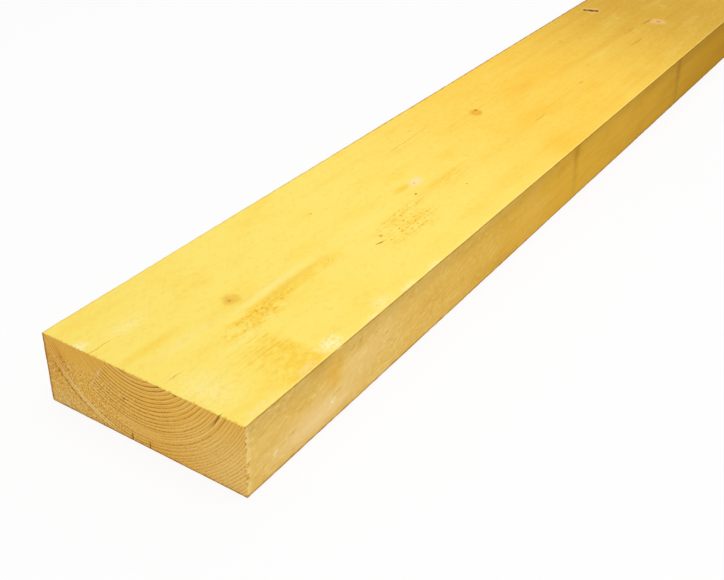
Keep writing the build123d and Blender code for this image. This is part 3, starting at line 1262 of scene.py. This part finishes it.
@dataclass(frozen=True)
class Plank:
    """The plank: one closed skin, its section carried along the length and folded in over both ends."""

    width: float
    thickness: float
    length: float
    arris: float = 1.0
    end_easing: float = 0.5
    log: Log = Log()
    gap: KnotGap = KnotGap()
    chip: Chip = Chip()
    splits: tuple[Split, ...] = (
        Split(Side.TOP, 87.4, extent=24.4, reach=3.6, mouth=0.8, along_ring=True),
        Split(Side.BOTTOM, -13.4, extent=9.9, reach=27.0, mouth=1.3, along_ring=False),
        Split(Side.BOTTOM, 6.8, extent=10.5, reach=27.0, mouth=0.9, along_ring=False),
    )
    # Width of a crack or a crescent where it is closed, room round it, and how far its bend reaches
    closed_width: float = 0.12
    lip_step: float = 0.001
    crack_room: float = 1.6
    crack_bend: float = 16.0
    crack_tail: float = 8.0
    gap_room: float = 0.9
    gap_bend: float = 9.0
    gap_tail: float = 40.0
    # Hollows of the long faces, then of the ends
    fibre: Relief = Relief(0.1, (1.7, 24.0, 1.7), seed=11)
    waves: Relief = Relief(0.3, (60.0, 210.0, 40.0), seed=12)
    ragged_arris: Relief = Relief(0.7, (3.0, 6.0, 3.0), seed=13, power=2)
    ragged_corner: Relief = Relief(0.4, (1.8, 3.0, 1.8), seed=14)
    pits: Relief = Relief(1.1, (2.6, 4.0, 2.6), seed=15, power=3)
    saw_lines: Relief = Relief(0.25, (40.0, 40.0, 1.6), seed=16)
    end_fibre: Relief = Relief(0.1, (2.0, 9.0, 2.0), seed=17)
    ragged_rim: Relief = Relief(0.5, (2.0, 9.0, 2.0), seed=18)
    ragged_reach: float = 1.5
    rim_reach: float = 1.2
    # How far the rings on each end are drawn in, and places along with the spacing of the rings there
    near_insets: tuple[float, ...] = (30.0, 27.0, 24.4, 22.0, 19.5, 17.0, 14.5, 12.0, 9.9, 7.5, 5.0, 3.0, 1.5)
    far_insets: tuple[float, ...] = (2.0, 6.0, 14.0, 30.0)
    row_stops: Stops = (
        (6, 1.6), (40, 2.5), (95, 2.4), (420, 2.4), (460, 3.5), (580, 6.5), (640, 3.0), (668, 3.0),
        (700, 6.5), (1095, 7.0), (1122, 1.5), (1164, 1.5), (1185, 6.0), (1300, 20.0),
        (2850, 40.0), (2985, 8.0),
    )
    sharp_angle: float = 38.0

    @classmethod
    def from_frame(cls) -> "Plank":
        """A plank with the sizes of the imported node."""
        width, length, thickness = ((high - low) / MM for low, high in zip(*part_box("plank")))
        return cls(width, thickness, length)

    def column_stops(self) -> tuple[Stops, ...]:
        """Where columns stand on each side, in the outline's direction.

        Returns:
            For each side, pairs of a place and the spacing of the columns there.
        """
        flat, low, high = self.width / 2 - self.arris, self.arris, self.thickness - self.arris
        return (
            ((-flat, 1.1), (-108, 2.0), (-98, 3.2), (4, 3.2), (13, 2.0),
             (70, 2.0), (80, 2.6), (104, 2.4), (flat, 1.0)),
            ((high, 1.0), (70, 1.9), (60, 2.8), (12, 2.8), (5, 2.0), (low, 1.0)),
            ((flat, 1.2), (95, 9.0), (18, 5.0), (0, 3.0), (-25, 5.0), (-95, 9.0), (-flat, 1.2)),
            ((low, 1.2), (8, 3.6), (66, 3.6), (high, 1.2)),
        )

    def cracked(self, side: Side, places: np.ndarray) -> tuple[np.ndarray, np.ndarray]:
        """Gives each crack on a side its three columns, in the room that it needs.

        Args:
            side: which side.
            places: where its columns stand, in the outline's direction.

        Returns:
            The places with those of the cracks, and their crack numbers.
        """
        crack = np.full(len(places), -1)
        step = np.sign(places[-1] - places[0])
        for number, split in enumerate(self.splits):
            if split.side == side:
                kept = (np.abs(places - split.across) > self.crack_room) | (crack >= 0)
                lips = split.across + step * self.lip_step * np.array([-1, 0, 1])
                places = np.concatenate([places[kept], lips])
                crack = np.concatenate([crack[kept], 3 * number + np.arange(3)])
                order = np.argsort(step * places)
                places, crack = places[order], crack[order]
        return places, crack

    def columns(self) -> tuple[np.ndarray, ...]:
        """The section's outline, clockwise as seen from the near end, from the top left.

        Straight runs with graded spacing join quarter rounds at the arrises, which have two points each.

        Returns:
            Places across and in height, outward normals, sides and crack numbers.
        """
        half = np.array([self.width, self.thickness]) / 2
        middle = np.array([0.0, half[1]])
        runs: list[tuple[np.ndarray, ...]] = []
        for side, stops in zip(Side, self.column_stops()):
            out, turning = outward(side), outward(side + np.array([1, 2]) / 3)
            places, crack = self.cracked(side, graded(stops))
            count = len(places)
            straight = np.tile(middle + out * half, (count, 1))
            straight[:, side % 2] = places
            corner = middle + (out + outward(side + 1)) * (half - self.arris)
            owners = np.array([side, (side + 1) % len(Side)])
            runs.append((straight, np.tile(out, (count, 1)), np.full(count, side), crack))
            runs.append((corner + self.arris * turning, turning, owners, np.array([-1, -1])))
        return tuple(np.concatenate(run) for run in zip(*runs))

    def rows(self) -> tuple[np.ndarray, ...]:
        """The rings of the skin, from the near end's middle, along the plank, to the far end's middle.

        Returns:
            Each ring's place along, how far it is drawn in from the section's edge, and its crescent number.
        """
        gap, easing = self.gap.along, self.end_easing
        along = graded(((easing, 1.0), *self.row_stops, (self.length - easing, 1.0)))
        along = along[np.abs(along - gap) > self.gap_room]
        spot = int(np.searchsorted(along, gap))
        along = np.insert(along, spot, [gap] * 3)
        near, far = (*self.near_insets, easing), (easing, *self.far_insets)
        places = np.concatenate([np.zeros(len(near)), along, np.full(len(far), self.length)])
        inset = np.concatenate([near, np.zeros(len(along)), far])
        crescent = np.full(len(places), -1)
        crescent[len(near) + spot + np.arange(3)] = np.arange(3)
        return places, inset, crescent

    def skin(self, grid: Grid) -> np.ndarray:
        """Works out every point of the skin.

        A ring is the outline shrunk towards the section's middle by its inset. Relief then moves points
        inwards, the chip pushes them out of its ball, the cracks pull their columns open, and the crescent
        its rows.

        Args:
            grid: the rows and columns.

        Returns:
            The points, by row and column.
        """
        half = np.array([self.width, self.thickness]) / 2
        middle = np.array([0.0, half[1]])
        shrink = (half - grid.inset[:, None]) / half
        flat = middle + (grid.outline - middle) * shrink[:, None, :]
        points = np.insert(flat, 1, grid.along[:, None], axis=-1)
        points = self.chip.scooped(self.relieved(points, grid), self.width / 2, self.thickness)
        for number in range(len(self.splits)):
            points = self.opened(points, grid, number)
        return self.parted(points, grid)

    def relieved(self, points: np.ndarray, grid: Grid) -> np.ndarray:
        """Moves points inwards: fibre, slow waves of the saw, ragged arrises and torn grain.

        Args:
            points: the plain skin.
            grid: its rows and columns.

        Returns:
            The moved points.
        """
        across, along, height = np.moveaxis(points, -1, 0)
        to_arris = np.maximum(self.width / 2 - np.abs(across), np.minimum(height, self.thickness - height))
        to_end = np.minimum(along, self.length - along)
        push = self.fibre.at(points) + self.waves.at(points)
        push += np.exp(-np.maximum(to_arris, 0.0) / self.ragged_reach) * self.ragged_arris.at(points)
        push += np.exp(-to_end / self.ragged_reach) * self.ragged_corner.at(points)
        push += grid.on_top * self.pits.at(points) * sum(patch.mask(points) for patch in TORN_PATCHES)
        end_push = self.saw_lines.at(points) + self.end_fibre.at(points)
        end_push += np.exp(-grid.inset / self.rim_reach)[:, None] * self.ragged_rim.at(points)
        on_end = grid.on_end[:, None]
        moved = points.copy()
        moved[..., ::2] -= np.where(on_end, 0.0, push)[..., None] * grid.facing
        moved[..., 1] += np.where(on_end, end_push, 0.0) * np.where(along <= 0.0, 1.0, -1.0)
        return moved

    def opened(self, points: np.ndarray, grid: Grid, number: int) -> np.ndarray:
        """Pulls a crack's three columns apart, and bends the columns near it to follow its path down the end.

        The mouth narrows in proportion to the distance gone, down the end and along the face. The root runs
        straight from where the crack ends on the face to where it ends on the end, and the edge that the two
        share meets its middle.

        Args:
            points: the skin.
            grid: its rows and columns.
            number: which crack.

        Returns:
            The opened skin.
        """
        split, near, along, inset = self.splits[number], grid.on_near, grid.along, grid.inset
        reach, extent, half = split.reach, split.extent, self.width / 2
        face, upward = (0.0, 1.0) if split.side == Side.BOTTOM else (self.thickness, -1.0)
        down = np.clip(inset / extent, 0.0, 1.0)
        far = np.clip(along / reach, 0.0, 1.0)
        share = np.where(near, 1.0 - down, 1.0 - far)
        target = split.path(self.log, np.minimum(inset, extent), self.thickness)
        natural = split.across * (half - inset) / half
        tail = np.exp(-((np.maximum(inset - extent, 0.0) / self.crack_tail) ** 2))
        on_face = np.isclose(grid.outline[:, 1], face)
        beside = np.exp(-(((grid.outline[:, 0] - split.across) / self.crack_bend) ** 2)) * on_face
        moved = points.copy()
        moved[..., 0] += np.where(near, (target - natural) * tail, 0.0)[:, None] * beside
        live = along < self.length / 2
        width = np.where(live, np.maximum(split.mouth * share, self.closed_width), self.closed_width)
        left, root, right = np.flatnonzero(grid.crack // 3 == number)
        moved[:, left, 0] = moved[:, root, 0] + upward * width / 2
        moved[:, right, 0] = moved[:, root, 0] - upward * width / 2
        root_along = np.where(near, reach / 2 * (1.0 - down), np.maximum(along, reach / 2 * (1.0 + far)))
        root_depth = np.where(near, np.maximum(inset, extent / 2 * (1.0 + down)), extent / 2 * (1.0 - far))
        root_across = split.path(self.log, root_depth, self.thickness)
        roots = np.stack([root_across, root_along, face + upward * root_depth], axis=-1)
        is_open = live & (share > 0.0)
        moved[is_open, root] = roots[is_open]
        return moved

    def parted(self, points: np.ndarray, grid: Grid) -> np.ndarray:
        """Bends the rows of the top face round the dead knot, and opens the crescent between its three rows.

        Args:
            points: the skin.
            grid: its rows and columns.

        Returns:
            The parted skin.
        """
        gap, across, order = self.gap, points[..., 0], grid.crescent[:, None]
        off = (grid.along - gap.along)[:, None]
        bend = np.where(np.abs(off) < self.gap_tail, np.exp(-((off / self.gap_bend) ** 2)), 0.0)
        opening = np.where(grid.on_top, gap.width * gap.openness(across), 0.0)
        width = np.maximum(opening, self.closed_width)
        moved = points.copy()
        moved[..., 1] += grid.on_top * bend * gap.line(across)
        moved[..., 1] += np.where(order >= 0, (order - 1) * width / 2, 0.0)
        moved[..., 2] -= np.where((order == 1) & grid.on_top, gap.depth * np.sqrt(gap.openness(across)), 0.0)
        return moved

    def finishes(self, grid: Grid) -> np.ndarray:
        """The finish of each quad, from the row and the column that it starts at.

        Args:
            grid: the rows and columns.

        Returns:
            Material slots, by row and column.
        """
        broad = grid.sides % 2 == Side.TOP
        finish = np.tile(np.where(broad, int(Finish.BROAD), int(Finish.NARROW)), (len(grid.along), 1))
        finish[grid.on_end & np.roll(grid.on_end, -1)] = Finish.END
        for number, split in enumerate(self.splits):
            inside = (grid.crack == 3 * number) | (grid.crack == 3 * number + 1)
            is_open = np.where(grid.on_near, grid.inset <= split.extent, grid.along < split.reach)
            finish[np.ix_(is_open, inside)] = Finish.SPLIT
        in_gap = (np.abs(self.gap.spread(grid.outline[:, 0])) < 1.0) & grid.on_top
        finish[np.ix_((grid.crescent == 0) | (grid.crescent == 1), in_gap)] = Finish.SPLIT
        return finish[:-1]

    def build(self) -> bpy.types.Object:
        """Makes the mesh: quads between rows, closed round the section, and a flat cap in each end.

        Returns:
            The piece, not dressed yet.
        """
        grid = Grid(self.length, *self.columns(), *self.rows())
        points = self.skin(grid) - np.array([0.0, self.length / 2, 0.0])
        index = np.arange(points[..., 0].size).reshape(points.shape[:2])
        after = np.roll(index, -1, axis=1)
        quads = np.stack([index[:-1], after[:-1], after[1:], index[1:]], axis=-1).reshape(-1, 4)
        caps = [index[0, ::-1].tolist(), index[-1].tolist()]
        mesh = bpy.data.meshes.new("plank_skin")
        mesh.from_pydata((points.reshape(-1, 3) * MM).tolist(), [], quads.tolist() + caps)
        slots = np.append(self.finishes(grid), [Finish.END] * len(caps)).astype(np.int32)
        mesh.polygons.foreach_set("material_index", slots)
        mesh.polygons.foreach_set("use_smooth", np.ones(len(slots), bool))
        mesh.set_sharp_from_angle(angle=math.radians(self.sharp_angle))
        mesh.validate()
        mesh.update()
        piece = bpy.data.objects.new("sawn_plank", mesh)
        bpy.context.scene.collection.objects.link(piece)
        return piece

    def dress(self, piece: bpy.types.Object) -> None:
        """Gives the mesh its finishes, in the order of the material slots.

        Args:
            piece: what was built.
        """
        effects = WoodEffects(self.log, self.length)
        for finish in (BroadFinish, NarrowFinish, EndFinish, SplitFinish):
            piece.data.materials.append(finish(effects, self).made())


@dataclass(frozen=True)
class Lamp:
    """A square soft lamp. Its places and its side are in metres, and its power is in watts."""

    name: str
    place: Triple
    aim: Triple
    side: float
    power: float

    def build(self) -> None:
        """Puts the lamp into the scene, pointed at its aim."""
        light = bpy.data.lights.new(self.name, "AREA")
        light.size = self.side
        light.energy = self.power
        lamp = bpy.data.objects.new(self.name, light)
        lamp.location = self.place
        lamp.rotation_euler = (Vector(self.aim) - Vector(self.place)).to_track_quat("-Z", "Y").to_euler()
        bpy.context.scene.collection.objects.link(lamp)


@dataclass(frozen=True)
class Studio:
    """A pale floor, soft lamps, a white surround and the camera."""

    lamps: tuple[Lamp, ...] = (
        Lamp("overhead", (0.1, -1.1, 1.55), (0.0, -1.05, 0.0), 1.2, 9.4),
        Lamp("overhead_far", (0.0, 1.15, 1.55), (0.0, 1.1, 0.0), 1.2, 9.5),
        Lamp("fill", (1.6, -2.3, 1.1), (0.0, -1.3, 0.04), 1.4, 9.0),
    )
    surround: float = 0.55
    floor_size_m: float = 40.0
    floor_drop: float = 0.3
    floor_colour: Colour = (0.9, 0.9, 0.9, 1.0)
    floor_roughness: float = 0.9
    white: Colour = (1.0, 1.0, 1.0, 1.0)
    floor_glow: float = 0.9
    glow_from_m: float = 1.8
    glow_full_m: float = 6.0
    lens: float = 52.313
    sensor: float = 36.0
    clip_start_m: float = 0.01
    azimuth: float = 32.568
    elevation: float = 32.466
    roll: float = 1.4135
    eye_across: float = 523.6
    eye_before_end: float = 480.2
    eye_height: float = 601.5

    def floor(self) -> bpy.types.Object:
        """A square of pale floor, which takes the plank's shadow and glows white to the camera.

        Returns:
            The floor.
        """
        half, low = self.floor_size_m / 2, -self.floor_drop * MM
        corners = [(-half, -half, low), (half, -half, low), (half, half, low), (-half, half, low)]
        mesh = bpy.data.meshes.new("floor")
        mesh.from_pydata(corners, [], [(0, 1, 2, 3)])
        mesh.materials.append(self.floor_finish())
        floor = bpy.data.objects.new("floor", mesh)
        bpy.context.scene.collection.objects.link(floor)
        return floor

    def floor_finish(self) -> bpy.types.Material:
        """A matt shader mixed with a white glow, which only rays that show the floor see.

        Returns:
            The material.
        """
        material = bpy.data.materials.new("pale_floor")
        material.use_nodes = True
        bench = NodeBench(material.node_tree)
        matt = material.node_tree.nodes["Principled BSDF"]
        bench.put(matt.inputs["Base Color"], self.floor_colour)
        bench.put(matt.inputs["Roughness"], self.floor_roughness)
        bench.put(matt.inputs["Specular IOR Level"], 0.0)
        glow = bench.node("Emission", self.white, 1.0)
        away = bench.length(bench.node("TexCoord").outputs["Object"])
        far_glow = bench.fade(away, self.glow_from_m, self.glow_full_m, self.floor_glow, 1.0)
        share = bench.times(self.shown(bench), far_glow)
        both = bench.node("MixShader", share, matt.outputs[0], glow.outputs[0])
        bench.put(material.node_tree.nodes["Material Output"].inputs["Surface"], both.outputs[0])
        return material

    @staticmethod
    def shown(bench: NodeBench) -> Socket:
        """Tells rays that show the surround, straight or through gloss or glass, from those that light.

        Args:
            bench: where the nodes go.

        Returns:
            One for rays that show it, and nothing for the others.
        """
        ray = bench.node("LightPath").outputs
        mirrored = bench.math("MAXIMUM", ray["Is Glossy Ray"], ray["Is Transmission Ray"])
        return bench.math("MAXIMUM", ray["Is Camera Ray"], mirrored)

    def light(self) -> None:
        """Puts up a white surround, a broad lamp above each half and a weaker one from the near right."""
        world = bpy.data.worlds.new("studio")
        bpy.context.scene.world = world
        world.use_nodes = True
        bench = NodeBench(world.node_tree)
        backdrop = world.node_tree.nodes["Background"].inputs
        bench.put(backdrop["Color"], self.white)
        bench.put(backdrop["Strength"], bench.fade(self.shown(bench), 0.0, 1.0, self.surround, 1.0))
        for lamp in self.lamps:
            lamp.build()

    def camera(self, plank: Plank) -> None:
        """Takes the photograph's viewpoint: a direction by azimuth and elevation, rolled about itself.

        Args:
            plank: what the camera stands before.
        """
        turn, rise, roll = (math.radians(angle) for angle in (self.azimuth, self.elevation, self.roll))
        ahead = Vector((-math.sin(turn) * math.cos(rise), math.cos(turn) * math.cos(rise), -math.sin(rise)))
        level = Vector((math.cos(turn), math.sin(turn), 0.0))
        right = math.cos(roll) * level + math.sin(roll) * level.cross(ahead)
        eye = Vector((self.eye_across, -plank.length / 2 - self.eye_before_end, self.eye_height)) * MM
        data = bpy.data.cameras.new("viewpoint")
        data.lens = self.lens
        data.sensor_width = self.sensor
        data.clip_start = self.clip_start_m
        view = bpy.data.objects.new("viewpoint", data)
        axes = Matrix((right, right.cross(ahead), -ahead)).transposed()
        view.matrix_world = Matrix.Translation(eye) @ axes.to_4x4()
        bpy.context.scene.collection.objects.link(view)
        bpy.context.scene.camera = view


def main() -> None:
    """Builds and dresses the plank, then sets the studio round it."""
    logging.basicConfig(level=logging.INFO, format="%(name)s: %(message)s")
    plank = Plank.from_frame()
    piece = plank.build()
    plank.dress(piece)
    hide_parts("plank")
    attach(piece, "root")
    LOG.info("%s: %d points, %d faces", piece.name, len(piece.data.vertices), len(piece.data.polygons))
    studio = Studio()
    studio.floor()
    studio.light()
    studio.camera(plank)
    bpy.context.scene.view_settings.view_transform = "Standard"


if __name__ == "__main__":
    main()
